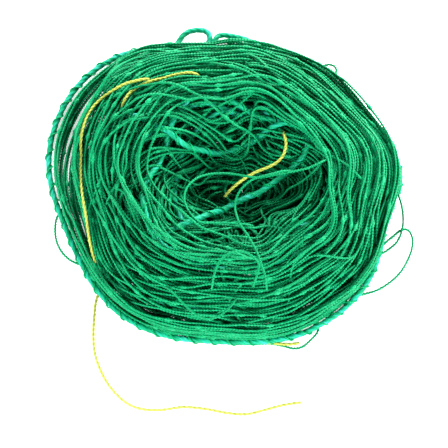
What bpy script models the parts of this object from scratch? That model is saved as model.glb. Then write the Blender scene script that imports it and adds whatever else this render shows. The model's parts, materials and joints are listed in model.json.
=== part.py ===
"""Roped twine netting wound up into a flat ring, with its twine ties.

Metres, +Z up. The ring lies flat on a level surface at Z = 0 and its box is centred on the
Z axis. +X runs along the ring's longer diameter. Numbers named below are in millimetres.

The net's twines run round the ring side by side, so each one is modelled as the closed solid
that its own turns fill: one cell of the ring's cross-section, carried round the ring. Columns
of cells run from the hole out to the rim, and every column has its own height.
"""
import math

import bmesh
import bpy
from mathutils import Vector

MM = 0.001
GAP = 0.4                       # clear space between neighbouring solids

# The ring in plan: its rim, anticlockwise from +X, and the oval hole that is off its centre.
RIM_OUTLINE = [
    (88, 9), (78, 30), (60, 53), (35, 71), (7, 78), (-25, 77), (-53, 71), (-78, 51),
    (-91, 14), (-87, -10), (-73, -47), (-52, -71), (-20, -82), (30, -81), (67, -55), (79, -29),
]
BOX_CENTRE = (0.84, 2.5)        # the point of this plan that lands on the Z axis
HOLE_CENTRE = (7, -3)
HOLE_HALF_LENGTH = 28
HOLE_HALF_WIDTH = 13
HOLE_FLOOR_HEIGHT = 8           # the turns that close the bottom of the hole
HOLE_FLOOR_INSET = 0.15         # the eye those turns leave, as a share of the hole

# The ring in section: each column's height and how many lays are stacked in it, from the hole out.
COLUMNS = [(21, 3), (31, 5), (38, 6), (31, 4), (17, 2)]
FOOT_ROPE_CELL = (1, 4)         # column and row of the foot rope's turns
RIM_BAND = 9.4                  # width kept at the rim for the head rope and its lashing
LAY_STEPS = 30
CORNER = 0.28                   # how far a lay's section is pointed, as a share of its width

# The head rope that runs round the rim, and the twine lashed round it.
ROPE_DIAMETER = 4.6
ROPE_HEIGHT = 4.6               # height of the rope's centre above the surface
ROPE_STEPS = 60
LASHING_DIAMETER = 1.3
LASHING_RADIUS = 3.55           # helix radius, measured to the twine's centre
LASHING_TURNS = 32
LASHING_STEPS = 8               # points in each turn
LASHING_SIDES = 4

TWINE_DIAMETER = 1.5
TIE_DIAMETER = 1.7
LOOP_ROPE_DIAMETER = 4.0

# Loops that lie on the surface outside the rim: (x, y) of a smooth line from root to root.
TOP_ROPE_LOOP = [
    (-24.2, 81.4), (-22.6, 83.1), (-20.3, 84.2), (-15.3, 84.9), (-11.6, 83.9), (-10.2, 81.4),
]
LEFT_TWINE_LOOP = [
    (-87.3, -16), (-87.8, -21.5), (-87, -27), (-85, -32.5), (-81.4, -37.8), (-77.8, -40.4),
]
RIGHT_TWINE_LOOP = [
    (81.4, -25.2), (84.7, -22.3), (87.6, -21.2), (89.9, -22.6), (91.3, -27), (90.6, -32.5),
    (88.5, -38), (85.5, -43.3), (81, -48.3), (75.5, -52.3), (71.6, -54.2),
]

# Ties that lie over the ring: (x, y) of a smooth line. Their height follows the ring's crown.
UPPER_TIE = [
    (-15, 48.5), (-21, 49.4), (-27.5, 48.8), (-34, 46.8), (-40.5, 44.8), (-46, 42.4), (-49.5, 39.6),
    (-52, 36), (-54, 32),
]
OUTER_TIE = [
    (-45, 50.5), (-51, 48.6), (-57.5, 45.8), (-62.5, 42.4), (-66.5, 38), (-70.5, 31.2), (-73, 22.6),
    (-74, 15.8), (-74, 7.8), (-74, -2.8), (-73, -13), (-71, -23), (-68.5, -34), (-67, -38),
]
# This one hangs across the hole, so its line has heights of its own: (x, y, z).
INNER_TIE = [
    (25, 13, 23.4), (25.5, 9, 23), (23.5, 4.5, 22), (16, 0, 17.5), (7, -4, 16), (1, -11, 18.5),
    (-2.5, -17, 23), (-4, -21, 23.4),
]
# The tie's free end lies on the surface in front of the ring.
TIE_TAIL = [
    (-66.8, -60), (-67.2, -66.5), (-67.6, -75.5), (-67, -85.5), (-64, -95.2), (-59, -104.2),
    (-51.5, -112), (-43.5, -115.5), (-34, -116), (-23, -114.5), (-12, -115.5), (-1, -117.6),
    (8, -118.2), (17, -116), (26, -113.5), (35.5, -112),
]

COLOURS = {
    "net": (0.0, 0.27, 0.09),
    "rope": (0.02, 0.45, 0.33),
    "lashing": (0.0, 0.33, 0.13),
    "tie": (0.75, 0.76, 0.12),
}


def clear_scene():
    for old in list(bpy.data.objects):
        bpy.data.objects.remove(old, do_unlink=True)


def material(node, kind):
    made = bpy.data.materials.new(node)
    made.use_nodes = True
    shader = made.node_tree.nodes["Principled BSDF"]
    shader.inputs["Base Color"].default_value = (*COLOURS[kind], 1)
    shader.inputs["Roughness"].default_value = 0.55
    shader.inputs["Metallic"].default_value = 0
    return made


def add_object(node, data, kind, location=(0, 0, 0)):
    made = bpy.data.objects.new(node, data)
    made.data.materials.append(material(node, kind))
    made.location = location
    bpy.context.collection.objects.link(made)
    return made


def spline(points, closed, place):
    """A point of the smooth curve through points, place being counted in points."""
    count = len(points)
    first = math.floor(place)
    part = place - first

    def at(index):
        return points[index % count] if closed else points[min(max(index, 0), count - 1)]

    before, start, end, after = (at(first + k) for k in (-1, 0, 1, 2))
    return tuple(
        0.5 * (
            2 * b
            + (c - a) * part
            + (2 * a - 5 * b + 4 * c - d) * part ** 2
            + (3 * b - a - 3 * c + d) * part ** 3
        )
        for a, b, c, d in zip(before, start, end, after)
    )


def smooth_line(points, spacing):
    """Points of the open curve through points, about spacing apart."""
    fine = 40 * (len(points) - 1)
    curve = [Vector(spline(points, False, k * (len(points) - 1) / fine)) for k in range(fine + 1)]
    lengths = [0.0]
    for a, b in zip(curve, curve[1:]):
        lengths.append(lengths[-1] + (b - a).length)
    steps = max(2, round(lengths[-1] / spacing))
    line, k = [], 0
    for step in range(steps + 1):
        wanted = lengths[-1] * step / steps
        while k < fine - 1 and lengths[k + 1] < wanted:
            k += 1
        share = (wanted - lengths[k]) / (lengths[k + 1] - lengths[k])
        line.append(curve[k].lerp(curve[k + 1], min(share, 1)))
    return line


def spoke(turn):
    """At turn (0 to 1) round the ring: the direction out from the hole's centre, the hole's
    radius and the rim's radius."""
    x, y = spline(RIM_OUTLINE, True, turn * len(RIM_OUTLINE))
    out = Vector((x - HOLE_CENTRE[0], y - HOLE_CENTRE[1]))
    rim = out.length
    out.normalize()
    hole = 1 / math.hypot(out.x / HOLE_HALF_LENGTH, out.y / HOLE_HALF_WIDTH)
    return out, hole, rim


def on_spoke(out, radius, height):
    return Vector((
        (HOLE_CENTRE[0] + out.x * radius) * MM,
        (HOLE_CENTRE[1] + out.y * radius) * MM,
        height * MM,
    ))


def ring_mesh(node, sections):
    """A closed ring skinned over sections, each one a list of points round the ring's section."""
    shape = bmesh.new()
    loops = [[shape.verts.new(point) for point in section] for section in sections]
    for here, there in zip(loops, loops[1:] + loops[:1]):
        for k in range(len(here)):
            after = (k + 1) % len(here)
            shape.faces.new((here[k], there[k], there[after], here[after]))
    bmesh.ops.recalc_face_normals(shape, faces=shape.faces)
    mesh = bpy.data.meshes.new(node)
    shape.to_mesh(mesh)
    shape.free()
    mesh.shade_smooth()
    mesh.set_sharp_from_angle(angle=math.radians(50))
    return mesh


def add_lay(node, kind, inner, outer, bottom, top):
    """One lay of turns. inner and outer take a hole radius and a body radius and give the
    lay's own; its section is flat above and below and pointed at its sides."""
    sections = []
    for step in range(LAY_STEPS):
        out, hole, rim = spoke(step / LAY_STEPS)
        near = inner(hole, rim - RIM_BAND) + GAP / 2
        far = outer(hole, rim - RIM_BAND) - GAP / 2
        corner = CORNER * min(far - near, 1.6 * (top - bottom))
        middle = (bottom + top) / 2
        profile = [
            (near, middle), (near + corner, bottom), (far - corner, bottom),
            (far, middle), (far - corner, top), (near + corner, top),
        ]
        sections.append([on_spoke(out, radius, height) for radius, height in profile])
    return add_object(node, ring_mesh(node, sections), kind)


def add_net():
    """The net's own twines, and the foot rope that is wound in among them."""
    number = 0
    share = 1 / len(COLUMNS)
    for column, (height, rows) in enumerate(COLUMNS):
        for row in range(rows):
            if (column, row) == FOOT_ROPE_CELL:
                node, kind = "foot_rope", "rope"
            else:
                number += 1
                node, kind = f"net_twine_{number:02d}", "net"
            add_lay(
                node,
                kind,
                lambda hole, body, k=column: hole + (body - hole) * k * share,
                lambda hole, body, k=column: hole + (body - hole) * (k + 1) * share,
                height * row / rows + (GAP if row else 0),
                height * (row + 1) / rows,
            )
    add_lay(
        f"net_twine_{number + 1:02d}",
        "net",
        lambda hole, body: hole * HOLE_FLOOR_INSET,
        lambda hole, body: hole,
        0,
        HOLE_FLOOR_HEIGHT,
    )


def rim_frame(turn):
    """The head rope's centre at turn round the rim, and the direction out from it."""
    out, hole, rim = spoke(turn)
    return on_spoke(out, rim - RIM_BAND / 2, ROPE_HEIGHT), Vector((out.x, out.y, 0))


def circle(centre, side, up, radius, sides, start=0.0):
    return [
        centre + (side * math.cos(a) + up * math.sin(a)) * radius * MM
        for a in (start + 2 * math.pi * k / sides for k in range(sides))
    ]


def add_head_rope():
    up = Vector((0, 0, 1))
    sections = []
    for step in range(ROPE_STEPS):
        centre, out = rim_frame(step / ROPE_STEPS)
        sections.append(circle(centre, out, up, ROPE_DIAMETER / 2, 6))
    add_object("head_rope", ring_mesh("head_rope", sections), "rope")


def add_lashing():
    """The twine wound round the head rope, as one closed helix."""
    count = LASHING_TURNS * LASHING_STEPS
    path = []
    for step in range(count):
        centre, out = rim_frame(step / count)
        angle = 2 * math.pi * step / LASHING_STEPS
        swing = out * math.cos(angle) + Vector((0, 0, 1)) * math.sin(angle)
        path.append((centre + swing * LASHING_RADIUS * MM, swing))
    sections = []
    for step, (point, swing) in enumerate(path):
        along = (path[(step + 1) % count][0] - path[step - 1][0]).normalized()
        side = along.cross(swing).normalized()
        out = side.cross(along).normalized()
        sections.append(circle(point, out, side, LASHING_DIAMETER / 2, LASHING_SIDES, math.pi / 4))
    add_object("head_rope_lashing", ring_mesh("head_rope_lashing", sections), "lashing")


def add_cord(node, kind, line, diameter, resolution, location=(0, 0, 0)):
    """A round cord along line, as a curve with filled ends."""
    curve = bpy.data.curves.new(node, "CURVE")
    curve.dimensions = "3D"
    curve.bevel_depth = diameter / 2 * MM
    curve.bevel_resolution = resolution
    curve.use_fill_caps = True
    run = curve.splines.new("POLY")
    run.points.add(len(line) - 1)
    origin = Vector(location)
    for place, point in zip(run.points, line):
        place.co = (*(point * MM - origin), 1)
    return add_object(node, curve, kind, location)


def add_loop(node, kind, outline, diameter, spacing):
    """A loop that swings up about the line between its two roots, where its origin is."""
    height = diameter / 2 + GAP
    line = smooth_line([(x, y, height) for x, y in outline], spacing)
    hinge = (line[0] + line[-1]) / 2 * MM
    add_cord(node, kind, line, diameter, 1, hinge)


def crown_height(x, y):
    """The height of the ring's crown over (x, y): a straight slope between column tops."""
    away = Vector((x - HOLE_CENTRE[0], y - HOLE_CENTRE[1]))
    turns = [k / 360 for k in range(360)]
    out, hole, rim = max((spoke(turn) for turn in turns), key=lambda s: s[0].dot(away.normalized()))
    place = (away.length - hole) / (rim - RIM_BAND - hole) * len(COLUMNS)
    corners = [(0, COLUMNS[0][0])]
    for column, (height, rows) in enumerate(COLUMNS):
        after = COLUMNS[min(column + 1, len(COLUMNS) - 1)][0]
        corners.append((column + 1, max(height, after)))
    place = min(max(place, 0), len(COLUMNS))
    for (a, low), (b, high) in zip(corners, corners[1:]):
        if place <= b:
            return low + (high - low) * (place - a) / (b - a)
    return corners[-1][1]


def add_ties():
    lift = TIE_DIAMETER / 2 + GAP
    for node, outline in (("upper_tie", UPPER_TIE), ("outer_tie", OUTER_TIE)):
        flat = smooth_line([(x, y, 0) for x, y in outline], 3)
        line = [Vector((p.x, p.y, crown_height(p.x, p.y) + lift)) for p in flat]
        add_cord(node, "tie", line, TIE_DIAMETER, 0)
    add_cord("inner_tie", "tie", smooth_line(INNER_TIE, 3), TIE_DIAMETER, 0)
    tail = smooth_line([(x, y, TIE_DIAMETER / 2) for x, y in TIE_TAIL], 3)
    add_cord("tie_tail", "tie", tail, TIE_DIAMETER, 2)


def centre_on_z_axis():
    for made in bpy.data.objects:
        made.location.x -= BOX_CENTRE[0] * MM
        made.location.y -= BOX_CENTRE[1] * MM


def main():
    clear_scene()
    add_net()
    add_head_rope()
    add_lashing()
    add_loop("top_rope_loop", "rope", TOP_ROPE_LOOP, LOOP_ROPE_DIAMETER, 3)
    add_loop("left_twine_loop", "net", LEFT_TWINE_LOOP, TWINE_DIAMETER, 2.5)
    add_loop("right_twine_loop", "net", RIGHT_TWINE_LOOP, TWINE_DIAMETER, 2.5)
    add_ties()
    centre_on_z_axis()


main()
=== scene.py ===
"""The looks of the wound net: every twine, rope and tie as a real twisted strand.

The strands are laid one after another on a growing pile, as the net was wound by hand: each
skein of twines follows its own way round the ring, sinks into the grooves of what lies there
already, and rests on it. Metres, in the frame's own axes.
"""
import json
import math
from collections import namedtuple

import bpy
import numpy as np
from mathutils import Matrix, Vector


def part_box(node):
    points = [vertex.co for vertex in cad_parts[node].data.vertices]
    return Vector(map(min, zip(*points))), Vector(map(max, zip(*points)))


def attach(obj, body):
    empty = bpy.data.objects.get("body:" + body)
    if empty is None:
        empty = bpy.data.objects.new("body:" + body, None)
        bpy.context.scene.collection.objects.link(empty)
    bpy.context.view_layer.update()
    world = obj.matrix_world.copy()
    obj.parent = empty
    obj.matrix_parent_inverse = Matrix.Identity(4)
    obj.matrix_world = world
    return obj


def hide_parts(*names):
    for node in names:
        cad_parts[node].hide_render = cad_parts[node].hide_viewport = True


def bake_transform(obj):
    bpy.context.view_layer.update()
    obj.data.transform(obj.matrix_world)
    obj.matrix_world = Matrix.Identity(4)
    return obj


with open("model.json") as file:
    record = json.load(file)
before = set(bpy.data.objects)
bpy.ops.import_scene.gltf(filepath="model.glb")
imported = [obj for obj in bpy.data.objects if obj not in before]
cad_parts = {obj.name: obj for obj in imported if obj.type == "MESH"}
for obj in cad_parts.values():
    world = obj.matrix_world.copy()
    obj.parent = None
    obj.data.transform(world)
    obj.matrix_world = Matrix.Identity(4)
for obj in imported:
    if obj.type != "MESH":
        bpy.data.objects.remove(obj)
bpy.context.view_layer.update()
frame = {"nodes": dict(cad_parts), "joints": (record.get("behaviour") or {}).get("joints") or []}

MM = 0.001
TURN = 2 * math.pi
NOT_ZERO = 1e-9                 # keeps a division by a length of nothing out of trouble
rng = np.random.default_rng(11)

# Strands
TWINE = 1.5 * MM                # diameter of the net's twine
TWINE_LAY = 4.6 * MM            # length of one turn of the twine's three plies
ROPE = 3.0 * MM                 # diameter of the border rope
ROPE_LAY = 11 * MM
TIE = 1.7 * MM
TIE_LAY = 5 * MM
LASHING = 0.9 * MM              # the thin twine that hangs the net on its border rope
LASHING_LAY = 3.6 * MM
LASHING_PITCH = 9.5 * MM        # the lashing goes round the rope once in this
LASHED_ROPE = ROPE + 0.8 * LASHING
ROPE_OUTWARD = 2.3 * MM         # the CAD's head rope is thicker, so its centre is further in
STEP = 0.6 * MM                 # spacing of a strand's points while it is laid
TIGHTEST = 2.2                  # a limp strand's tightest bend, in diameters

# Winding
TWINES = 20
WOUND_TURNS = 16                # turns of each twine that find their own way round the ring
RIM_TWINES = 3                  # the last of the twines, which keep to the rim
RIM_SKEIN = 3                   # their skein; the other twines are dealt out to skeins 0 to 2
SKEIN_OF = [RIM_SKEIN if k >= TWINES - RIM_TWINES else k % RIM_SKEIN for k in range(TWINES)]
BEND = 14 * MM                  # the tightest sag of a twine between two others
ROPE_BEND = 24 * MM
LOOSE_BEND = 90 * MM            # a loose loop on top hardly sags

# ---------------- the ring, read from the frame

def node_points(node):
    mesh = frame["nodes"][node].data
    flat = np.empty(len(mesh.vertices) * 3)
    mesh.vertices.foreach_get("co", flat)
    return flat.reshape(-1, 3)


HOLE_CENTRE = np.mean(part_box("net_twine_20"), axis=0)[:2]
SPOKE_COUNT = 360
SPOKES = np.arange(SPOKE_COUNT) / SPOKE_COUNT       # in turns round the hole, from +X
READ_SPOKES = 2 * SPOKE_COUNT   # the node's points are gathered on spokes this close together
WAVES_KEPT = 10                 # what is finer in an outline is only the CAD's facets


def polar(points):
    away = points[:, :2] - HOLE_CENTRE
    return np.arctan2(away[:, 1], away[:, 0]) % TURN, np.hypot(away[:, 0], away[:, 1])


def radius_round(node, pick):
    """The node's radius about the hole's centre at each of SPOKES, smoothed a little."""
    angle, radius = polar(node_points(node))
    spokes = np.round(angle / TURN * READ_SPOKES).astype(int)
    found = [
        (spoke / READ_SPOKES * TURN, pick(radius[spokes == spoke]))
        for spoke in sorted(set(spokes))
    ]
    at, value = np.array(found).T
    waves = np.fft.rfft(np.interp(SPOKES * TURN, at, value, period=TURN))
    waves[WAVES_KEPT:] = 0
    return np.fft.irfft(waves, SPOKE_COUNT)


HOLE_RADIUS = radius_round("net_twine_01", np.min)
RIM_RADIUS = radius_round("head_rope", np.mean) + ROPE_OUTWARD


def ring_radius(turn, place):
    """place is 0 at the hole's edge and 1 at the head rope's line; below 0 it is in the hole."""
    hole = np.interp(turn % 1, SPOKES, HOLE_RADIUS, period=1)
    rim = np.interp(turn % 1, SPOKES, RIM_RADIUS, period=1)
    return np.where(place > 0, hole + place * (rim - hole), hole * (1 + place))


def ring_points(turn, place):
    radius = ring_radius(turn, place)
    return np.stack([
        HOLE_CENTRE[0] + radius * np.cos(turn * TURN),
        HOLE_CENTRE[1] + radius * np.sin(turn * TURN),
    ], axis=1)


# ---------------- lines

def lengths_of(line):
    return np.concatenate([[0], np.cumsum(np.linalg.norm(np.diff(line, axis=0), axis=1))])


def evenly(line, step):
    """The same line with its points step apart."""
    along = lengths_of(line)
    count = max(2, round(along[-1] / step) + 1)
    at = np.linspace(0, along[-1], count)
    return np.stack([np.interp(at, along, line[:, k]) for k in range(line.shape[1])], axis=1)


def smooth_values(values, reach):
    """A running mean down the rows, over 2 * reach + 1 of them, with the ends held."""
    kept = [(reach + 1, reach)] + [(0, 0)] * (values.ndim - 1)
    total = np.cumsum(np.pad(values, kept, mode="edge"), axis=0)
    return (total[2 * reach + 1:] - total[:-2 * reach - 1]) / (2 * reach + 1)


def directions(line):
    """The unit vector along line at each of its points."""
    along = np.gradient(line, axis=0)
    return along / np.maximum(np.linalg.norm(along, axis=1, keepdims=True), NOT_ZERO)


EASINGS = 80                    # the most times that a line is eased
EASED_REACH = 4                 # points on either side that a tight bend is eased over
EASED_SHARE = 3                 # how much sooner than a running mean the easing is full


def eased(line, tightest):
    """line, its points STEP apart, with every bend that is tighter than this opened out."""
    for _ in range(EASINGS):
        bending = np.linalg.norm(np.gradient(directions(line), axis=0), axis=1) / STEP
        tight = (bending > 1 / tightest).astype(float)
        if not tight.any():
            break
        share = np.minimum(1, EASED_SHARE * smooth_values(tight, EASED_REACH))[:, None]
        share[0] = share[-1] = 0
        line = evenly(line + share * (smooth_values(line, EASED_REACH) - line), STEP)
    return line


FINE_POINTS = 60                # of a smooth curve, between two of the points it goes through


def curve_through(points, step):
    """A smooth open curve through points, as points step apart."""
    knots = np.array(points, float)
    count = len(knots)
    at = np.linspace(0, count - 1, FINE_POINTS * (count - 1) + 1)
    first = np.minimum(at.astype(int), count - 2)
    part = (at - first)[:, None]
    before, start = knots[np.maximum(first - 1, 0)], knots[first]
    end, after = knots[first + 1], knots[np.minimum(first + 2, count - 1)]
    line = 0.5 * (
        2 * start + (end - before) * part
        + (2 * before - 5 * start + 4 * end - after) * part ** 2
        + (3 * start - before - 3 * end + after) * part ** 3
    )
    return evenly(line, step)


# ---------------- routes drawn on a plan

# Where the frame's origin lies on the plan, in millimetres. This is the CAD's own plan.
PLAN_CENTRE = (0.84, 2.5)

# Loops and loose ends on the floor. All begin under the ring, and all but the tail end there.

TOP_ROPE_LOOP = [
    (-31, 73.5), (-28, 76.7), (-26, 79.4), (-24, 82.8), (-20.6, 85.2), (-15.3, 86),
    (-11.4, 84.8), (-10, 81.6), (-11, 78), (-13, 74.5),
]
TOP_ROPE = [
    (-9, 74.5), (-8, 78.6), (-6, 82.2), (-2.5, 83.1), (3, 82.2), (8, 80.8), (14, 78), (20, 74.6),
]
LEFT_TWINE_LOOP = [
    (-79, -4), (-83.5, -10), (-86.4, -15), (-87.2, -19), (-87.2, -23.5), (-86.4, -28),
    (-84.5, -32.3), (-81.8, -35.8), (-78.6, -38.4), (-73, -40.5), (-66, -41.5),
]
RIGHT_TWINE_LOOP = [
    (73, -33), (77.5, -28.5), (81.4, -25.2), (84.7, -22.3), (87.6, -21.2), (89.9, -22.6),
    (91.3, -27), (90.6, -32.5), (88.5, -38), (85.5, -43.3), (81, -48.3), (75.5, -52.3),
    (71.6, -54.2), (65, -56), (58, -57),
]
RIGHT_TWINE = [
    (76, 8), (81, 3.5), (84.3, -2.5), (86.4, -11), (86.4, -20), (83.5, -28), (77, -33.5), (70, -37),
]
FRONT_TWINE = [
    (-17, -78), (-9, -80), (0, -81.6), (10, -81.8), (20, -81.6), (27, -83), (31.5, -84.2),
    (36, -83.2), (40, -79.6), (43.5, -75.5), (44, -71),
]
BACK_TWINE = [
    (36, 57), (43, 62.8), (47.3, 66.5), (50.6, 67.5), (53.6, 66), (54, 63.1), (51.8, 61),
    (47.5, 60.6), (40, 61.2), (34, 61),
]
FRONT_TIE = [(2, -79), (8, -81), (16, -81), (24, -81.9), (29, -82.3), (34.5, -81.2)]
TIE_TAIL = [
    (-59, -46), (-62.5, -51), (-65.2, -55.5), (-66.6, -60), (-67.2, -66.5), (-67.6, -75.5),
    (-67, -85.5), (-64, -95.2), (-59, -104.2), (-51.5, -112), (-43.5, -115.5), (-34, -116),
    (-23, -114.5), (-12, -115.5), (-1, -117.6), (8, -118.2), (17, -116), (26, -113.5),
    (35.5, -112),
]

# Ties that lie over the ring. The one across the hole has heights of its own: (x, y, z).
OUTER_TIE = [
    (-40, 46.5), (-45, 45.4), (-51, 44.6), (-57.5, 41.8), (-62.5, 39.4), (-66.5, 36), (-70.5, 30.2),
    (-73, 22.6), (-74, 15.8), (-74, 7.8), (-74, -2.8), (-73, -13), (-71, -24), (-70, -31),
    (-68.5, -38), (-66.5, -44.8),
]
UPPER_TIE = [
    (-15, 48.5), (-21, 49.4), (-27.5, 48.8), (-34, 46.8), (-40.5, 44.8), (-46, 42.4), (-49.5, 39.6),
    (-52, 36), (-54, 32),
]
INNER_TIE = [
    (26.5, 20, 23), (27.5, 15, 23), (27.8, 11.6, 22), (26.5, 6.7, 21), (23.5, 3.3, 20), (19, 1, 19),
    (14, -0.5, 18), (10, -2.1, 18), (5, -4.9, 19), (0.5, -7.9, 20), (-3, -10.5, 20),
]

# Loose strands that lie on top of all the others.
LOOSE_TWINES = [
    [
        (48, 2), (39, -2.9), (25, -5), (13.5, -5.5), (2, -1.8), (-6.5, -1.3), (-15.5, -4.5),
        (-21, -10.3), (-22.5, -17.2), (-20, -24.1), (-15.5, -28.9), (-9, -29.5), (2, -29),
        (12, -29.5),
    ],
    [
        (30, -3.5), (21, -5.7), (11, -8.4), (4.8, -13.7), (2.5, -20.6), (4.5, -30.2), (9.5, -39),
        (13.5, -47.7), (17, -58.7), (18, -66),
    ],
    [
        (-9, -66), (-7.7, -59.4), (-4.5, -52), (0.5, -48.5), (5.7, -47.9), (10.8, -50.1),
        (14, -53.8), (13.5, -58.6), (11, -65),
    ],
    [
        (-33, -60), (-27, -65.4), (-21.2, -71.6), (-15, -76.3), (-9.7, -77.9), (-4, -75.7),
        (0.5, -71.6), (4, -66),
    ],
]


def on_plan(points):
    """The smooth line through points of the plan, in the frame."""
    line = curve_through(points, STEP / MM) * MM
    line[:, :2] -= np.array(PLAN_CENTRE) * MM
    return line


# ---------------- the pile

class Pile:
    """The height of what lies on the table so far, on a square grid."""

    CELL = 0.35 * MM
    MARGIN = 12 * MM
    ACROSS = np.linspace(-0.92, 0.92, 7)    # places across a strand, in radii
    USUAL_REACH = 8             # cells that the pile's usual height is taken over
    PRESS_REACH = 5             # cells that the pressing down is spread over
    LEAST_SHARE = 0.5           # of the limit, which an emptier spot counts as
    PRESSED_REACH = 6           # points of a strand that its pressing down is spread over

    def __init__(self):
        boxes = np.array([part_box(node) for node in frame["nodes"]])
        low, high = boxes[:, 0, :2].min(axis=0), boxes[:, 1, :2].max(axis=0)
        self.low = low - self.MARGIN
        size = np.ceil((high - low + 2 * self.MARGIN) / self.CELL).astype(int)
        self.height = np.zeros(size)

    def cells(self, points):
        index = ((points[:, :2] - self.low) / self.CELL).astype(int)
        return tuple(np.clip(index, 0, np.array(self.height.shape) - 1).T)

    def at(self, points):
        return self.height[self.cells(points)]

    def support(self, line, radius):
        """The height of a strand's centre where it would rest on what is under it."""
        side = sideways(line)
        found = np.full(len(line), -1.0)
        for place in self.ACROSS:
            under = self.at(line + side * (place * radius))
            found = np.maximum(found, under + radius * math.sqrt(1 - place * place))
        return found

    def lay(self, line, radius):
        side = sideways(line[:, :2])
        for place in self.ACROSS:
            cells = self.cells(line[:, :2] + side * (place * radius))
            np.maximum.at(self.height, cells, line[:, 2] + radius * math.sqrt(1 - place * place))

    def everywhere(self):
        """The place in the ring of each cell: 0 at the hole's edge, 1 at the rim."""
        x, y = (
            self.low[k] + (np.arange(self.height.shape[k]) + 0.5) * self.CELL - HOLE_CENTRE[k]
            for k in (0, 1)
        )
        turn = np.arctan2(y[None, :], x[:, None]) / TURN % 1
        away = np.hypot(x[:, None], y[None, :])
        hole = np.interp(turn, SPOKES, HOLE_RADIUS, period=1)
        rim = np.interp(turn, SPOKES, RIM_RADIUS, period=1)
        return np.where(away > hole, (away - hole) / (rim - hole), away / hole - 1)

    def press(self, strands, limit):
        """The pile pressed down under its own weight to limit, a height for each cell."""
        usual = blurred(self.height, self.USUAL_REACH)
        usual = np.maximum(usual, limit * self.LEAST_SHARE)
        share = blurred(np.minimum(1, limit / usual), self.PRESS_REACH)
        self.height *= share
        for strand in strands:
            if not len(strand.points):
                continue
            spot = smooth_values(share[self.cells(strand.points)], self.PRESSED_REACH)
            low = strand.radius
            strand.points[:, 2] = low + (strand.points[:, 2] - low) * spot


def blurred(grid, reach):
    """Smoothed twice along either side of the grid."""
    for _ in range(4):
        grid = smooth_values(grid, reach).T
    return grid


def sideways(line):
    """The unit vector to the left of line in plan, at each of its points."""
    along = directions(line[:, :2])
    return np.stack([-along[:, 1], along[:, 0]], axis=1)


DEEPEST_SAG = 20 * MM
SAG_REACH = 3                   # points that a sagging line's kinks are smoothed over


def hang(support, bend):
    """The line of a strand held up at support: it sags between, no tighter than bend."""
    line = support.copy()
    reach = int(math.sqrt(2 * bend * DEEPEST_SAG) / STEP)
    for k in range(1, min(reach, len(support) - 1)):
        drop = (k * STEP) ** 2 / (2 * bend)
        line[k:] = np.maximum(line[k:], support[:-k] - drop)
        line[:-k] = np.maximum(line[:-k], support[k:] - drop)
    return smooth_values(smooth_values(line, SAG_REACH), SAG_REACH)


TUCK_LENGTH = 7 * MM
TUCK_DEPTH = 3 * MM


def tucked(height, radius, first, last):
    """height with its first or last stretch pushed down into the pile."""
    count = int(TUCK_LENGTH / STEP)
    down = TUCK_DEPTH * np.linspace(1, 0, count) ** 2
    if first:
        height[:count] -= down
    if last:
        height[-count:] -= down[::-1]
    return np.maximum(height, radius)


SETTLE_ROUNDS = 5
SETTLE_REACH = 26               # points of a strand that move sideways together
SETTLE_PUSH = 0.35              # the most that they move in a round, in radii


def settle(pile, line, radius):
    """line moved sideways, little by little, to where the pile is lower."""
    for _ in range(SETTLE_ROUNDS):
        side = sideways(line)
        left = pile.at(line + side * radius) + pile.at(line + side * radius * 2)
        right = pile.at(line - side * radius) + pile.at(line - side * radius * 2)
        push = smooth_values(np.clip((right - left) / (4 * radius), -1, 1), SETTLE_REACH)
        line = line + side * (push * SETTLE_PUSH * radius)[:, None]
    return line


# ---------------- ways round the ring

# A list of places in the ring has one for each sixteenth of a turn, anticlockwise from +X.
PLACES_LISTED = 16

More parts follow.
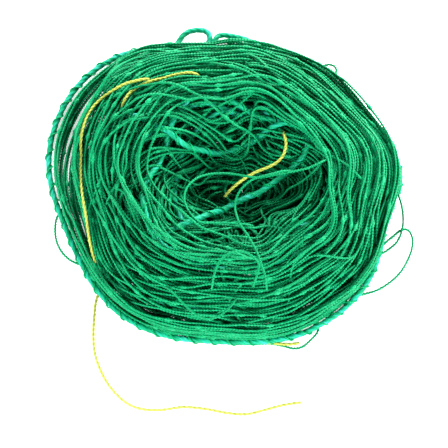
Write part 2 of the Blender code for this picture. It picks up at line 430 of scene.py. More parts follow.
# The places of the turns that lie on top. Each skein takes its lists in their order, so the last
# list of each is its last turn.
LAST_TURNS = [
    [   # skein 0
        [.30, .18, .15, .11, .09, .07, .07, .10, .21, .36, .16, -.02, -.30, -.22, -.24, -.18],
        [.29, .25, .25, .23, .18, .14, .12, .29, .51, .66, .68, .66, .64, .63, .62, .53],
        [.33, .27, .20, .13, .08, .09, .30, .70, .81, .82, .76, .75, .73, .74, .77, .64],
        [.74, .78, .84, .88, .82, .76, .74, .74, .76, .84, .84, .84, .84, .85, .88, .80],
        [.38, .34, .41, .49, .66, .76, .74, .72, .76, .84, .80, .78, .78, .80, .83, .70],
    ],
    [   # skein 1
        [.34, .22, .17, .12, .11, .10, .10, .13, .25, .40, .26, .10, -.10, -.02, -.05, .02],
        [.50, .43, .44, .40, .29, .22, .16, .41, .70, .80, .76, .75, .75, .74, .76, .70],
        [.29, .20, .14, .08, .06, .14, .42, .70, .67, .64, .58, .59, .59, .60, .64, .52],
        [.86, .85, .88, .90, .82, .72, .70, .70, .72, .84, .90, .91, .90, .91, .92, .90],
        [.20, .08, .01, .0, .10, .34, .62, .72, .74, .80, .74, .68, .66, .66, .66, .46],
    ],
    [   # skein 2
        [.22, .18, .16, .15, .13, .11, .10, .13, .28, .46, .46, .36, .30, .26, .22, .16],
        [.60, .58, .62, .66, .64, .58, .52, .52, .58, .66, .64, .62, .60, .60, .62, .62],
        [.42, .46, .52, .58, .58, .54, .50, .44, .42, .48, .52, .50, .45, .42, .44, .42],
        [.52, .30, .12, .02, .02, .20, .52, .74, .74, .70, .68, .66, .64, .62, .64, .62],
        [.70, .72, .74, .76, .78, .76, .76, .76, .80, .88, .94, .92, .88, .86, .84, .80],
    ],
    [   # skein 3, along the rim
        [.88, .90, .92, .92, .90, .86, .84, .84, .88, .95, .95, .94, .92, .90, .88, .88],
        [.94, .96, .97, .97, .95, .95, .95, .94, .94, .96, .95, .95, .96, .96, .95, .95],
        [.97, .99, 1.0, .98, .95, .98, .99, .98, .96, .96, .96, .96, .97, .96, .95, .95],
        [.92, .96, .98, .97, .92, .89, .88, .88, .91, .93, .95, .97, .95, .94, .93, .93],
        [.95, .98, 1.0, .97, .95, .97, .98, .97, .94, .94, .95, .93, .93, .95, .97, .96],
    ],
]
TURNS = WOUND_TURNS + len(LAST_TURNS[0])
INNERMOST = 0.02                # the furthest in and out that a skein goes on its own way
OUTERMOST = [.88, .9, .9, .84, .76, .70, .68, .68, .72, .8, .86, .9, .92, .92, .9, .88]
RIM_INNERMOST = 0.55

# The furthest out that any twine lies, and any twine of the rim's skein. At the left the coil
# is loose, and only the rim's twines fill the band inside the head rope.
OUTER_EDGE = [.965, 1, 1.01, .97, .94, .88, .84, .83, .85, .93, .96, .965, .965, .965, .97, .97]
RIM_EDGE = [
    .965, 1, 1.01, .98, .945, .985, 1.0, .985, .97, .965, .965, .965, .965, .965, .97, .97,
]
HOLE_EDGE = -0.85               # the furthest into the hole that any twine lies

# How high the pile should stand at each place, which steers the skeins that find their way.
CROWN_PLACES = [-1, 0, 0.12, 0.3, 0.5, 0.7, 0.88, 1]
CROWN_HEIGHTS = np.array([3, 8, 17, 28, 32, 26, 13, 3]) * MM


def crown(place):
    return np.interp(place, CROWN_PLACES, CROWN_HEIGHTS)


def ease(share):
    """share, from 0 to 1, but starting and ending gently."""
    return share * share * (3 - 2 * share)


class Way:
    """A skein's place in the ring as it goes round, as a smooth line through knots."""

    CROSSING_HALF = 0.2         # the half of a crossing of the hole, in turns
    CROSSING_OUTERMOST = 0.05   # the furthest out that a skein goes on a crossing
    STEPS_TRIED = 7             # places that are looked at for each knot of the way
    STEP_SPREAD = 0.16          # how far they are from the last one, as places in the ring
    STEP_COST = 0.5             # what a step of 1 costs, as a share of the pile's full height
    LOOKED_AT = np.array([-0.02, 0, 0.02])      # where the pile is looked at, in turns

    def __init__(self, start):
        self.turns = [0.0]
        self.places = [start]

    def add(self, turn, place):
        self.turns.append(turn)
        self.places.append(place)

    def wander(self, pile, turn_index, crossing=None, innermost=INNERMOST):
        """One more turn, through places where the pile is still low for its crown. crossing is
        the direction in which it cuts straight across the hole, and how far from its centre."""
        for k in range(1, PLACES_LISTED + 1):
            turn = turn_index + k / PLACES_LISTED
            if crossing:
                away = (turn - crossing[0] + 0.5) % 1 - 0.5
                if abs(away) < self.CROSSING_HALF:
                    straight = crossing[1] / math.cos(away * TURN) - 1
                    self.add(turn, min(self.CROSSING_OUTERMOST, straight))
                    continue
            self.add(turn, self.best_place(pile, turn, innermost, OUTERMOST[k % PLACES_LISTED]))

    def best_place(self, pile, turn, innermost, outermost):
        """The emptiest of a few places near the last one."""
        steps = rng.normal(0, self.STEP_SPREAD, self.STEPS_TRIED)
        tried = np.clip(self.places[-1] + steps, innermost, outermost)
        fullness = []
        for place in tried:
            near = ring_points(turn + self.LOOKED_AT, np.full(len(self.LOOKED_AT), place))
            fullness.append(np.mean(pile.at(near)) / crown(place))
        effort = np.array(fullness) + self.STEP_COST * np.abs(tried - self.places[-1])
        return float(tried[int(np.argmin(effort))])

    def follow(self, turn_index, places):
        """One more turn, through places listed."""
        for k, place in enumerate(places):
            self.add(turn_index + (k + 0.5) / len(places), place)

    def at(self, turns):
        """Cubic through the knots."""
        knots, values = np.array(self.turns), np.array(self.places)
        slopes = np.gradient(values, knots)
        k = np.clip(np.searchsorted(knots, turns) - 1, 0, len(knots) - 2)
        width = knots[k + 1] - knots[k]
        t = np.clip((turns - knots[k]) / width, 0, 1)
        return (
            (2 * t ** 3 - 3 * t ** 2 + 1) * values[k]
            + (t ** 3 - 2 * t ** 2 + t) * width * slopes[k]
            + (3 * t ** 2 - 2 * t ** 3) * values[k + 1]
            + (t ** 3 - t ** 2) * width * slopes[k + 1]
        )


class Strand:
    """One long twine or rope while it is laid: its points, and where in its skein it runs."""

    OVERLAP = 18 * MM           # what is laid next is drawn over from what lies, along this
    LOOKED_THROUGH = 100        # points of a route, among which the strand's end is found
    TURNS_OVERLAP = 0.06
    TURN_POINTS = 500
    RANK_SHARE = 0.62           # how far out in its skein a twine runs, by its rank
    SWAYS = [(0.30, 0.61), (0.22, 1.37), (0.07, 3.3)]       # how far and how often, in each turn
    LOOSER_TURNS = (TURNS - 4, TURNS - 2.5)     # over these it comes to stray further
    LOOSER = 1.7
    IN_HOLE_SPREAD = 0.7        # how much wider a skein fans out where it crosses the hole
    DEEPEST_FAN = 0.5

    def __init__(self, name, radius, start=0.0, spread=0.0, edge=None):
        self.name = name
        self.radius = radius
        self.start = start                      # the turn at which it begins
        self.rank = rng.uniform(-1, 1)
        self.spread = spread                    # how far it strays from its skein's place
        self.edge = edge                        # the furthest out that it lies
        self.phases = rng.uniform(0, 1, len(self.SWAYS))
        self.points = np.zeros((0, 3))

    def place(self, way, turns):
        """Its place in the ring at each of turns."""
        swing = self.RANK_SHARE * self.rank
        for (far, often), phase in zip(self.SWAYS, self.phases):
            swing = swing + far * np.sin(TURN * (often * turns + phase))
        place = way.at(turns)
        loose = np.interp(turns - self.start, self.LOOSER_TURNS, (1, self.LOOSER))
        fan = self.IN_HOLE_SPREAD * self.rank * np.clip(-place, 0, self.DEEPEST_FAN)
        return place + self.spread * loose * swing + fan

    def within_edge(self, turns, place):
        """place held in from the strand's edge, and out of the middle of the hole."""
        listed = (np.arange(PLACES_LISTED) + 0.5) / PLACES_LISTED
        return np.clip(place, HOLE_EDGE, np.interp(turns % 1, listed, self.edge, period=1))

    def lay_turn(self, pile, way, turn_index, bend):
        """Lays one turn, which follows way and rests on the pile."""
        began = self.start + turn_index
        ahead = self.TURNS_OVERLAP if len(self.points) else 0.0
        turns = np.linspace(began - ahead, began + 1, self.TURN_POINTS)
        place = self.place(way, turns)
        if self.edge:
            place = self.within_edge(turns, place)
        line = evenly(ring_points(turns, place), STEP)
        if self.edge:
            line = settle(pile, line, self.radius)
        height = hang(pile.support(line, self.radius), bend)
        line = np.column_stack([line, height])
        if len(self.points):
            line = self.join(line)
        pile.lay(line, self.radius)
        self.points = np.concatenate([self.points, line]) if len(self.points) else line

    def carry_on(self, pile, points, bend):
        """Lays more of the strand, from where it ends, along a route of the plan."""
        last = self.points[-1]
        before = self.points[-int(self.OVERLAP / STEP)]
        so_far = [tuple(point[:2] / MM + PLAN_CENTRE) for point in (before, last)]
        line = on_plan([*so_far, *points])
        beginning = line[:self.LOOKED_THROUGH]
        line = line[int(np.argmin(np.linalg.norm(beginning - last[:2], axis=1))) + 1:]
        height = hang(pile.support(line, self.radius), bend)
        share = ease(np.clip(np.arange(len(line)) * STEP / self.OVERLAP, 0, 1))
        line = np.column_stack([line, last[2] * (1 - share) + height * share])
        pile.lay(line, self.radius)
        self.points = np.concatenate([self.points, line])

    def lay_route(self, pile, points, bend, tuck_first=True, tuck_last=True, lowest=0):
        """Lays the whole strand along a route of the plan, over what lies there already. Where
        the route has heights of its own, it is no lower than them."""
        line = on_plan(points)
        height = np.maximum(pile.support(line[:, :2], self.radius), lowest)
        if line.shape[1] == 3:
            height = np.maximum(height, line[:, 2])
        height = tucked(hang(height, bend), self.radius, tuck_first, tuck_last)
        self.points = np.column_stack([line[:, :2], height])
        pile.lay(self.points, self.radius)

    def join(self, line):
        """line with its beginning drawn over from this strand's last points."""
        last = self.points[-1]
        beginning = line[:len(line) // 3, :2]
        nearest = int(np.argmin(np.linalg.norm(beginning - last[:2], axis=1)))
        count = min(int(self.OVERLAP / STEP), nearest)
        line = line[nearest - count:]
        tail = self.points[-count - 1:]
        self.points = self.points[:-count - 1]
        share = ease(np.linspace(0, 1, len(tail)))[:, None]
        line[:len(tail)] = tail * (1 - share) + line[:len(tail)] * share
        return line


# ---------------- winding

# The border ropes. Each is laid once round after each of these turns of the net, -1 being before
# them all: first along RIM_WAY or by finding its own way, and at the end along ROPE_ROUTES.
ROPE_TURNS = {
    "head_rope": [-1, 6, 12, TURNS - 7, TURNS - 5, TURNS - 4],
    "foot_rope": [4, 10, 14, TURNS - 6, TURNS - 5],
}
RIM_WAY = [1, .97, .95, .96, .99, 1.05, 1.06, 1.04, 1.01, 1, 1, 1, 1, 1.02, 1, .96]
ROPE_ROUTES = {
    "head_rope": [
        [   # down the left edge of the hole
            (46, 10), (36, 26), (18, 34), (-4, 32), (-19, 22), (-26, 8), (-27.5, -4), (-27.5, -13),
            (-26, -20), (-23, -28), (-10, -40), (8, -46), (28, -42), (44, -28), (52, -10),
        ],
        [   # straight across the front of the hole
            (56, 8), (52, 28), (30, 50), (0, 58), (-35, 54), (-58, 34), (-68, 8), (-66, -20),
            (-56, -37), (-43, -38.5), (-30, -33.5), (-13.5, -24.8), (3, -13.2), (19, -5.5),
            (32.5, 6.2), (40, 11.3), (46, 18), (46, 27),
        ],
        [   # out from the back of the hole, and down the left side
            (36, 28), (24, 24), (10, 18), (-6, 13), (-21, 12.5), (-36, 22), (-51, 31),
            (-61, 27), (-66, 12), (-67, -6), (-65.6, -24), (-65, -34), (-63, -43), (-57.5, -51),
            (-48, -59), (-32, -65.5), (-15, -68), (0, -67.5), (20, -66), (42, -56), (58, -38),
            (62, -16),
        ],
    ],
    "foot_rope": [
        [   # along the crest at the right and the back
            (61.5, -14), (59.8, -9.6), (54, 0), (48, 8.6), (42.8, 14.4), (37, 20.5), (29.5, 24),
            (16, 28.8), (5, 32.5), (-14, 42), (-36, 44), (-55, 32), (-64, 8), (-62, -16),
            (-53, -31), (-47.8, -38.3), (-43.3, -51.5), (-30, -62), (-8, -68), (18, -66),
            (40, -54), (52, -36), (54, -18),
        ],
        [   # over the crest at the back, and down the hole's left side
            (57, 0), (54, 18), (44, 34), (26, 44), (6, 47), (-14, 41), (-26, 29), (-31, 17),
            (-33.5, 7), (-37.5, 0.3), (-42.5, -9), (-42.8, -17), (-42, -24), (-38, -36), (-26, -46),
            (-8, -52), (14, -52), (34, -44), (48, -30), (56, -14), (54, 2),
        ],
    ],
}

# What lies on the floor under all the rest: the loops that stick out, with their roots.
FLOOR_LIFT = 0.4 * MM
FLOOR_STRANDS = [
    ("top_rope_loop", ROPE / 2, TOP_ROPE_LOOP),
    ("top_rope", ROPE / 2, TOP_ROPE),
    ("left_twine_loop", TWINE / 2, LEFT_TWINE_LOOP),
    ("right_twine_loop", TWINE / 2, RIGHT_TWINE_LOOP),
    ("right_twine", TWINE / 2, RIGHT_TWINE),
    ("front_twine", TWINE / 2, FRONT_TWINE),
    ("back_twine", TWINE / 2, BACK_TWINE),
    ("front_tie", TIE / 2, FRONT_TIE),
    ("tie_tail", TIE / 2, TIE_TAIL),
]
# What is laid just before these skeins' last turns.
TIES = {1: ("upper_tie", UPPER_TIE), RIM_SKEIN: ("outer_tie", OUTER_TIE)}

# The strands that end in the open, where their twine was cut.
BARE_ENDED = ("outer_tie", "tie_tail")

WAYS_START = [0.55, 0.35, 0.7, 0.8]         # each skein's first place
ROPE_WAYS_START = [1, 0.4]
RIM_SPREAD = 0.03                           # of a skein's twines, as places in the ring
SPREADS = (0.06, 0.13)
LAST_START = 0.9                            # the twines begin over this much of a turn
CROSSING_FROM_CENTRE = (0.05, 0.85)         # how far from the hole's centre a skein crosses it
LOOSE_HEIGHT = 2.5 * TWINE                  # that each new turn stands over the pressed pile


def lay_rope(pile, rope, way, turn):
    """One turn of a border rope, after the net's turns that it is listed for."""
    turns = ROPE_TURNS[rope.name]
    if turn not in turns:
        return
    own_turn = turns.index(turn)
    routes = ROPE_ROUTES[rope.name]
    listed = own_turn - len(turns) + len(routes)
    if listed >= 0:
        rope.carry_on(pile, routes[listed], ROPE_BEND)
        return
    if turn < 0:
        way.follow(own_turn, RIM_WAY)
    else:
        way.wander(pile, own_turn)
    rope.lay_turn(pile, way, own_turn, ROPE_BEND)


def new_twine(number):
    """One of the net's twines, before it is laid."""
    at_rim = SKEIN_OF[number] == RIM_SKEIN
    spread = RIM_SPREAD if at_rim else rng.uniform(*SPREADS)
    start = rng.uniform(0, LAST_START)
    edge = RIM_EDGE if at_rim else OUTER_EDGE
    return Strand(f"net_twine_{number + 1:02d}", TWINE / 2, start, spread, edge)


def lead_on(pile, way, skein, turn):
    """Takes a skein's way one turn further, and after its last turn a little past that."""
    if turn >= WOUND_TURNS:
        way.follow(turn, LAST_TURNS[skein][turn - WOUND_TURNS])
    elif skein == RIM_SKEIN:
        way.wander(pile, turn, innermost=RIM_INNERMOST)
    else:
        way.wander(pile, turn, (rng.uniform(0, 1), rng.uniform(*CROSSING_FROM_CENTRE)))
    if turn == TURNS - 1:
        way.follow(turn + 1, [way.places[-1]] * 4)


def wind():
    """Lays the whole net on the pile, turn by turn. Returns the pile, the twines, the ropes, and
    the other strands by name."""
    pile = Pile()
    ways = [Way(place) for place in WAYS_START]
    twines = [new_twine(k) for k in range(TWINES)]
    ropes = [Strand(name, LASHED_ROPE / 2) for name in ROPE_TURNS]
    rope_ways = [Way(place) for place in ROPE_WAYS_START]
    extras = {}
    for name, radius, points in FLOOR_STRANDS:
        extras[name] = Strand(name, radius)
        extras[name].lay_route(
            pile, points, BEND, tuck_first=False, tuck_last=False, lowest=FLOOR_LIFT + radius,
        )
    lay_rope(pile, ropes[0], rope_ways[0], -1)

    limit = crown(pile.everywhere())
    for turn in range(TURNS):
        for skein, way in enumerate(ways):
            lead_on(pile, way, skein, turn)
        for skein, way in enumerate(ways):
            if turn == TURNS - 1 and skein in TIES:
                name, points = TIES[skein]
                extras[name] = Strand(name, TIE / 2)
                extras[name].lay_route(pile, points, BEND, tuck_last=name not in BARE_ENDED)
            for k in rng.permutation(TWINES):
                if SKEIN_OF[k] == skein:
                    twines[k].lay_turn(pile, way, turn, BEND)
        for rope, way in zip(ropes, rope_ways):
            lay_rope(pile, rope, way, turn)
        laid = twines + ropes + list(extras.values())
        pile.press(laid, limit * ((turn + 1) / TURNS) + LOOSE_HEIGHT)

    extras["inner_tie"] = Strand("inner_tie", TIE / 2)
    extras["inner_tie"].lay_route(pile, INNER_TIE, LOOSE_BEND)
    for k, points in enumerate(LOOSE_TWINES):
        name = f"loose_twine_{k + 1}"
        extras[name] = Strand(name, TWINE / 2)
        extras[name].lay_route(pile, points, LOOSE_BEND)
    for strand in twines + ropes:
        strand.points[:, 2] = tucked(strand.points[:, 2], strand.radius, first=False, last=True)
        strand.points = eased(strand.points, TIGHTEST * 2 * strand.radius)
    return pile, twines, ropes, extras


# ---------------- strands as meshes

# What the strands of one kind share. section is the radii round it, lay is the length of one
# turn of its plies, and spacing is how far apart its rings of points are.
Kind = namedtuple("Kind", "slot diameter section lay spacing material")

PLY_ROUNDNESS = 0.8             # below 1, the plies bulge more and the grooves are narrower


def lobes(radius, plies, points, depth):
    """The radii round the section of a strand twisted from plies, with this many points to each
    ply, and grooves between them to this depth in radii."""
    angle = np.arange(plies * points) / points * math.pi
    return radius * (1 - depth * (1 - np.abs(np.cos(angle)) ** PLY_ROUNDNESS))


TWINE_SECTION = lobes(TWINE / 2, plies=3, points=2, depth=0.32)
ROPE_SECTION = lobes(ROPE / 2, plies=3, points=4, depth=0.14)
TIE_SECTION = lobes(TIE / 2, plies=2, points=4, depth=0.30)
LASHING_SECTION = lobes(LASHING / 2, plies=3, points=2, depth=0.34)
KNOT_SWELLING = 0.8             # how much a knot adds to the radius, in radii
KNOT_REACH = 1.3 * MM
HIDDEN_SPACING = 3.0            # rings out of sight are this many times further apart
SHOWN_REACH = 4                 # points past the end of an open stretch that count as shown
CAP_ON_MAP = (0.5, 0.0)


def ring_places(line, spacing):
    """Where along line (in points) its rings go, spacing being wanted at each point."""
    steps = np.linalg.norm(np.diff(line, axis=0), axis=1)
    rings = np.concatenate([[0], np.cumsum(steps * 2 / (spacing[1:] + spacing[:-1]))])
    count = max(3, int(rings[-1]))
    return np.interp(np.linspace(0, rings[-1], count + 1), rings, np.arange(len(line)))


def taken_at(values, places):
    """values, a row for each point of a line, at places along it."""
    index = np.arange(len(values))
    if values.ndim == 1:
        return np.interp(places, index, values)
    columns = [np.interp(places, index, values[:, k]) for k in range(values.shape[1])]
    return np.stack(columns, axis=1)


def side_and_up(line):
    """Two unit vectors square to line, the first of them level, at each of its points."""
    along = directions(line)
    side = np.cross([0, 0, 1], along)
    side /= np.maximum(np.linalg.norm(side, axis=1, keepdims=True), NOT_ZERO)
    return side, np.cross(along, side)


def tube_points(centres, radii, turns):
    """A ring of points round each of centres, at radii and turns. None is below the floor."""
    side, up = side_and_up(centres)
    angle = turns * TURN
    points = centres[:, None] + radii[..., None] * (
        side[:, None] * np.cos(angle)[..., None] + up[:, None] * np.sin(angle)[..., None]
    )
    points[..., 2] = np.maximum(points[..., 2], 0)
    return points.reshape(-1, 3)


def tube_mesh(name, points, length, sides):
    """A closed tube over points, which are in rings of sides. Its UV map, strand, has the place
    round the strand across it, and each ring's length up it."""
    ring, place = np.meshgrid(np.arange(len(length) - 1), np.arange(sides), indexing="ij")
    ring = np.stack([ring, ring, ring + 1, ring + 1], axis=-1).reshape(-1, 4)
    place = np.stack([place, place + 1, place + 1, place], axis=-1).reshape(-1, 4)
    quads = ring * sides + place % sides
    caps = np.stack([np.arange(sides)[::-1], (len(length) - 1) * sides + np.arange(sides)])
    quad_map = np.stack([place / sides, length[ring]], axis=-1).reshape(-1, 2)
    cap_map = np.tile([CAP_ON_MAP], (caps.size, 1))
    first_corners = [np.arange(len(quads)) * 4, quads.size + np.arange(len(caps)) * sides]
    mesh = bpy.data.meshes.new(name)
    mesh.vertices.add(len(points))
    mesh.vertices.foreach_set("co", points.ravel())
    mesh.loops.add(quads.size + caps.size)
    mesh.loops.foreach_set("vertex_index", np.concatenate([quads.ravel(), caps.ravel()]))
    mesh.polygons.add(len(quads) + len(caps))
    mesh.polygons.foreach_set("loop_start", np.concatenate(first_corners))
    uv = mesh.uv_layers.new(name="strand")
    uv.data.foreach_set("uv", np.concatenate([quad_map, cap_map]).ravel())
    mesh.update(calc_edges=True)
    mesh.shade_smooth()
    return mesh


def strand_mesh(name, kind, line, open_air=None, knots=()):
    """A closed twisted tube along line, with its lengths on the UV map in lays. Where open_air is
    false its rings are further apart, and it isn't twisted. knots are lengths along it at which
    it swells. Returns the mesh and its ring centres."""
    shown = np.ones(len(line))
    if open_air is not None:
        shown = smooth_values(open_air.astype(float), SHOWN_REACH)
    far_apart = HIDDEN_SPACING * kind.spacing
    places = ring_places(line, far_apart + (kind.spacing - far_apart) * np.ceil(shown))
    steps = np.concatenate([[0], np.linalg.norm(np.diff(line, axis=0), axis=1)])
    twist = taken_at(np.cumsum(steps * (shown > 0)) / kind.lay, places)
    length = taken_at(np.cumsum(steps) / kind.lay, places)
    centres = taken_at(line, places)
    swelling = np.ones(len(centres))
    for knot in knots:
        swelling += KNOT_SWELLING * np.exp(-(((length * kind.lay - knot) / KNOT_REACH) ** 2))
    sides = len(kind.section)
    turns = twist[:, None] + np.arange(sides) / sides
    points = tube_points(centres, swelling[:, None] * kind.section, turns)
    return tube_mesh(name, points, length, sides), centres


HELIX_STEP = 0.5 * MM
HELIX_LOWEST = 0.6 * LASHING    # height of its centre over the floor


def wrapped(line, radius, pitch):
    """A helix round line, at radius from it."""
    line = evenly(line, HELIX_STEP)
    side, up = side_and_up(line)
    angle = (lengths_of(line) / pitch * TURN)[:, None]
    helix = line + radius * (side * np.cos(angle) + up * np.sin(angle))
    helix[:, 2] = np.maximum(helix[:, 2], HELIX_LOWEST)
    return helix


def add_piece(name, mesh, material, node=None):
    piece = bpy.data.objects.new(name, mesh)
    bpy.context.collection.objects.link(piece)
    mesh.materials.append(material)
    if node:
        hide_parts(node)
    return piece


def lowest_near(grid, reach):
    """The lowest value within reach cells of each cell, along either side."""
    for _ in range(2):
        found = grid.copy()
        for k in range(1, reach + 1):
            found[k:] = np.minimum(found[k:], grid[:-k])
            found[:-k] = np.minimum(found[:-k], grid[k:])
        grid = found.T
    return grid


# ---------------- materials

# Colours over a strand's shade, from its painted groove shade and dark patches to its lightest
# fibres.
TWINE_COLOURS = [
    (0.15, (0.0, 0.115, 0.04)), (0.42, (0.001, 0.165, 0.064)),
    (0.62, (0.003, 0.22, 0.093)), (0.85, (0.018, 0.275, 0.127)),
]
ROPE_COLOURS = [
    (0.34, (0.0, 0.15, 0.06)), (0.48, (0.002, 0.21, 0.10)),
    (0.62, (0.012, 0.27, 0.185)), (0.80, (0.05, 0.36, 0.31)),
]
LASHING_COLOURS = [
    (0.2, (0.0, 0.12, 0.04)), (0.5, (0.0, 0.24, 0.09)), (0.8, (0.01, 0.36, 0.14)),
]
TIE_COLOURS = [
    (0.2, (0.17, 0.20, 0.025)), (0.5, (0.27, 0.31, 0.06)), (0.8, (0.38, 0.415, 0.14)),
]
FLOOR_COLOURS = [(0.3, (0.86, 0.86, 0.86)), (0.7, (0.9, 0.9, 0.9))]
FLOOR_GLOW = 0.5                # the photo's ground is as white under the net as beside it

# Tints of the shine on the strands.
GREEN_SHINE = (0.3, 1.0, 0.6)
TEAL_SHINE = (0.35, 1.0, 0.9)
YELLOW_SHINE = (1.0, 0.95, 0.3)
STRAND_SPECULAR = 0.35

FIBRE_STRETCH = (9, 1.6, 1)     # fibres in a turn round the strand and in a lay along it
FIBRE_SHARE = 0.3               # how much they change its shade
PATCH_STRETCH = 1.2
BUMP_STRENGTH = 0.3
BUMP_DEPTH = 0.2 * MM


class Nodes:
    """A material's node tree, with one call for a node and its inputs."""

    def __init__(self, name, roughness, specular, tint=(1, 1, 1)):
        self.material = bpy.data.materials.new(name)
        self.material.use_nodes = True
        self.tree = self.material.node_tree
        self.shader = self.tree.nodes["Principled BSDF"]
        self.shader.inputs["Roughness"].default_value = roughness
        self.shader.inputs["Specular IOR Level"].default_value = specular
        self.shader.inputs["Specular Tint"].default_value = (*tint, 1)

    def add(self, kind, **inputs):
        node = self.tree.nodes.new(kind)
        for name, value in inputs.items():
            self.plug(node.inputs[name], value)
        return node

    def plug(self, socket, value):
        if isinstance(value, bpy.types.NodeSocket):
            self.tree.links.new(value, socket)
        else:
            socket.default_value = value

    def strand_map(self):
        node = self.tree.nodes.new("ShaderNodeUVMap")
        node.uv_map = "strand"
        return node.outputs["UV"]

    def scaled(self, vector, scale):
        node = self.add("ShaderNodeMapping", Vector=vector, Scale=scale)
        return node.outputs["Vector"]

    def ramp(self, value, stops):
        node = self.add("ShaderNodeValToRGB", Fac=value)
        marks = node.color_ramp.elements
        while len(marks) < len(stops):
            marks.new(0.5)
        for mark, (place, colour) in zip(marks, stops):
            mark.position = place
            mark.color = (*colour, 1)
        return node.outputs["Color"]

    def maths(self, operation, *values):
        node = self.tree.nodes.new("ShaderNodeMath")
        node.operation = operation
        for socket, value in zip(node.inputs, values):
            self.plug(socket, value)
        return node.outputs[0]

    def finish(self, colour, bump=None):
        self.tree.links.new(colour, self.shader.inputs["Base Color"])
        if bump is not None:
            node = self.add(
                "ShaderNodeBump", Height=bump, Strength=BUMP_STRENGTH, Distance=BUMP_DEPTH,
            )
            self.tree.links.new(node.outputs["Normal"], self.shader.inputs["Normal"])
        return self.material


def grooves(nodes, place, plies):
    """1 along the middle of each ply, and 0 in the grooves between them. It makes the bump, and the
    painted shade in the grooves.
    """
    across = nodes.tree.nodes.new("ShaderNodeSeparateXYZ")
    nodes.tree.links.new(place, across.inputs[0])
    wave = nodes.maths("COSINE", nodes.maths("MULTIPLY", across.outputs["X"], plies * TURN))
    return nodes.maths("MULTIPLY_ADD", wave, 0.5, 0.5)


def strand_material(name, plies, colours, roughness, tint, patch_length, painted_groove_shade):
    """Fibres laid along plies, with painted shade in the grooves between them, and changing shade
    along the strand every patch_length lays. The share given for the grooves is the painted groove
    shade's part in the shade."""
    nodes = Nodes(name, roughness, STRAND_SPECULAR, tint)
    place = nodes.strand_map()
    fibres = nodes.add(
        "ShaderNodeTexNoise", Vector=nodes.scaled(place, FIBRE_STRETCH), Scale=3.0, Detail=2.0,
    ).outputs["Fac"]
    patches = nodes.add(
        "ShaderNodeTexNoise", Vector=nodes.scaled(place, (PATCH_STRETCH, 1 / patch_length, 1)),
        Scale=1.0, Detail=3.0,
    ).outputs["Fac"]
    ridge = grooves(nodes, place, plies)
    # Painted shade: the grooves between the plies are darkened in the colour itself, by the share
    # given for them; the patches are the strand's own changing tone.
    shade = nodes.maths(
        "MULTIPLY_ADD", patches, 1 - painted_groove_shade, nodes.maths("MULTIPLY", ridge, painted_groove_shade),
    )
    streaks = nodes.maths("MULTIPLY_ADD", fibres, FIBRE_SHARE, -FIBRE_SHARE / 2)
    shade = nodes.maths("ADD", shade, streaks)
    colour = nodes.ramp(shade, colours)
    return nodes.finish(colour, nodes.maths("ADD", fibres, ridge))


def strand_kinds():
    """Each kind of strand, with its material."""
    twine = strand_material(
        "net_twine", plies=3, colours=TWINE_COLOURS, roughness=0.5, tint=GREEN_SHINE,
        patch_length=30, painted_groove_shade=0.22,
    )
    rope = strand_material(
        "border_rope", plies=3, colours=ROPE_COLOURS, roughness=0.55, tint=TEAL_SHINE,
        patch_length=3, painted_groove_shade=0.12,
    )
    lashing = strand_material(
        "lashing_twine", plies=3, colours=LASHING_COLOURS, roughness=0.5, tint=GREEN_SHINE,
        patch_length=20, painted_groove_shade=0.25,
    )
    tie = strand_material(
        "tie_twine", plies=2, colours=TIE_COLOURS, roughness=0.5, tint=YELLOW_SHINE,
        patch_length=20, painted_groove_shade=0.3,
    )
    return {
        "twine": Kind("net_twine", TWINE, TWINE_SECTION, TWINE_LAY, 0.75 * MM, twine),
        "rope": Kind("border_rope", ROPE, ROPE_SECTION, ROPE_LAY, 1.0 * MM, rope),
        "lashing": Kind("lashing_twine", LASHING, LASHING_SECTION, LASHING_LAY, 0.6 * MM, lashing),
        "tie": Kind("tie_twine", TIE, TIE_SECTION, TIE_LAY, 0.6 * MM, tie),
    }


def floor_material():
    nodes = Nodes("floor", roughness=0.9, specular=0.1)
    nodes.shader.inputs["Emission Color"].default_value = (1, 1, 1, 1)
    nodes.shader.inputs["Emission Strength"].default_value = FLOOR_GLOW
    grain = nodes.add("ShaderNodeTexNoise", Scale=6.0, Detail=2.0).outputs["Fac"]
    return nodes.finish(nodes.ramp(grain, FLOOR_COLOURS))


# ---------------- the pieces

SHOWN_WITHIN = 3 * MM           # a strand shows down to SHOWN_DEPTH below the lowest place of
SHOWN_DEPTH = 2.2 * MM          # the pile that is this near
KNOT_SPACING = 50 * MM          # the mesh is knotted about this often along each twine
KNOT_STRAY = 0.2                # how far a knot is from its even place, in spacings
SMOOTHED = 2                    # points that a laid strand is smoothed over
LASHING_SINKS = 0.35            # how far its centre is from the rope's surface, in diameters


def add_strand(name, kind, line, node=None, open_air=None, knots=()):
    """A piece for one strand along line."""
    mesh, centres = strand_mesh(name, kind, line, open_air, knots)
    piece = add_piece(name, mesh, kind.material, node)
    return piece


def knot_places(length):
    """Where the knots are along a twine, not quite evenly."""
    count = int(length / KNOT_SPACING)
    stray = rng.uniform(-KNOT_STRAY, KNOT_STRAY, count)
    return (np.arange(count) + 0.5 + stray) * KNOT_SPACING


def build_wound(kinds, pile, twines, ropes):
    """The twines and ropes of the ring."""
    low_places = lowest_near(pile.height, int(SHOWN_WITHIN / pile.CELL))
    for strand in twines + ropes:
        line = smooth_values(strand.points, SMOOTHED)
        open_air = line[:, 2] + strand.radius > low_places[pile.cells(line)] - SHOWN_DEPTH
        is_rope = strand in ropes
        kind = kinds["rope" if is_rope else "twine"]
        knots = () if is_rope else knot_places(lengths_of(line)[-1])
        name = "wound_" + strand.name
        piece = add_strand(name, kind, line, strand.name, open_air, knots)
        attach(piece, "bundle")
        if is_rope:
            build_lashing(kinds["lashing"], strand.name, line)


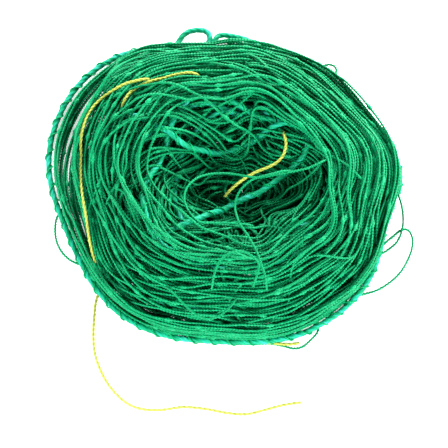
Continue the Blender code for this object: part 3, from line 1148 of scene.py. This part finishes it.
def build_lashing(kind, rope, line):
    """The thin twine wound round a rope. The CAD has the head rope's only."""
    helix = wrapped(line, ROPE / 2 + LASHING_SINKS * LASHING, LASHING_PITCH)
    node = rope + "_lashing"
    if node not in frame["nodes"]:
        node = None
    piece = add_strand(rope + "_lashing_twine", kind, helix, node)
    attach(piece, "bundle")


def kind_of(name):
    """The kind of strand that name says."""
    for kind in ("rope", "tie"):
        if kind in name:
            return kind
    return "twine"


def build_extras(kinds, extras):
    """The strands that lie under, over and beside the ring."""
    for name, strand in extras.items():
        node = name if name in frame["nodes"] else None
        line = smooth_values(strand.points, SMOOTHED)
        piece = add_strand("laid_" + name, kinds[kind_of(name)], line, node)
        if node and name.endswith("loop"):
            hinge_piece(piece, name)
        else:
            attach(piece, "bundle")


def hinge_piece(piece, body):
    """piece with its place baked into its mesh. The joint of body and the hinge's outward side are
    found, but not used.
    """
    joint = next(j for j in frame["joints"] if j["child"] == body)
    place, axis = Vector(joint["pos_m"]), Vector(joint["axis"])
    outward = axis.cross(Vector((0, 0, 1))).normalized()
    if outward.dot(place) < 0:
        outward.negate()
    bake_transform(piece)


def build_net():
    pile, twines, ropes, extras = wind()
    kinds = strand_kinds()
    build_wound(kinds, pile, twines, ropes)
    build_extras(kinds, extras)


# ---------------- the studio

WORLD_LIGHT = 0.23
LIGHT_DISTANCE = 1.3
# Soft lights: azimuth from +X and elevation in degrees, size in metres, and watts.
LIGHTS = [
    ("key", 95, 27, 0.5, 36),
    ("back", 40, 22, 0.5, 28),
    ("left", 200, 30, 0.5, 20),
    ("right", 340, 28, 0.5, 16),
    ("front", 280, 28, 0.6, 27),
]

COVE_FLOOR = 2.6                # radius of the level part of the white cove
COVE_CURVE = 1.0                # radius of the curve up from it
COVE_STEPS = 12                 # rings in that curve
COVE_SIDES = 96
COVE_DROP = 0.2 * MM            # keeps it clear of what lies on it


def build_floor():
    """A round white cove: a level floor that curves up into a wall all round."""
    points, faces = [(0, 0, 0)], []
    for step in range(COVE_STEPS + 1):
        angle = step / COVE_STEPS * math.pi / 2
        radius = COVE_FLOOR + COVE_CURVE * math.sin(angle)
        height = COVE_CURVE * (1 - math.cos(angle))
        for k in range(COVE_SIDES):
            turn = k / COVE_SIDES * TURN
            points.append((radius * math.cos(turn), radius * math.sin(turn), height))
    for k in range(COVE_SIDES):
        after = (k + 1) % COVE_SIDES
        faces.append((0, 1 + k, 1 + after))
        for ring in range(COVE_STEPS):
            inner, outer = 1 + ring * COVE_SIDES, 1 + (ring + 1) * COVE_SIDES
            faces.append((inner + k, outer + k, outer + after, inner + after))
    mesh = bpy.data.meshes.new("cove")
    mesh.from_pydata(points, [], faces)
    mesh.shade_smooth()
    mesh.materials.append(floor_material())
    made = bpy.data.objects.new("cove", mesh)
    made.location.z = -COVE_DROP
    bpy.context.collection.objects.link(made)


def build_light():
    world = bpy.data.worlds.new("studio")
    bpy.context.scene.world = world
    world.use_nodes = True
    sky = world.node_tree.nodes["Background"]
    sky.inputs["Color"].default_value = (1, 1, 1, 1)
    sky.inputs["Strength"].default_value = WORLD_LIGHT
    for name, azimuth, elevation, size, power in LIGHTS:
        light = bpy.data.lights.new(name, "AREA")
        light.size = size
        light.energy = power
        turn, lift = math.radians(azimuth), math.radians(elevation)
        level = math.cos(lift)
        away = Vector((math.cos(turn) * level, math.sin(turn) * level, math.sin(lift)))
        lamp = bpy.data.objects.new(name, light)
        lamp.location = away * LIGHT_DISTANCE
        lamp.rotation_euler = away.to_track_quat("Z", "Y").to_euler()
        bpy.context.collection.objects.link(lamp)
    bpy.context.scene.view_settings.view_transform = "Standard"
    bpy.context.scene.view_settings.look = "Medium High Contrast"


CAMERA_ELEVATION = math.radians(70)
CAMERA_DISTANCE = 2.2
SENSOR_WIDTH = 36               # in millimetres, as Blender has it
VIEW_WIDTH = 0.224              # what the picture shows across, at the ring
VIEW_CENTRE = (-0.0038, -0.0206, 0)


def build_camera():
    camera = bpy.data.cameras.new("camera")
    camera.sensor_width = SENSOR_WIDTH
    camera.lens = SENSOR_WIDTH * CAMERA_DISTANCE / VIEW_WIDTH
    made = bpy.data.objects.new("camera", camera)
    away = Vector((0, -math.cos(CAMERA_ELEVATION), math.sin(CAMERA_ELEVATION)))
    made.location = Vector(VIEW_CENTRE) + away * CAMERA_DISTANCE
    made.rotation_euler = away.to_track_quat("Z", "Y").to_euler()
    bpy.context.collection.objects.link(made)
    bpy.context.scene.camera = made


build_camera()
build_net()
build_floor()
build_light()
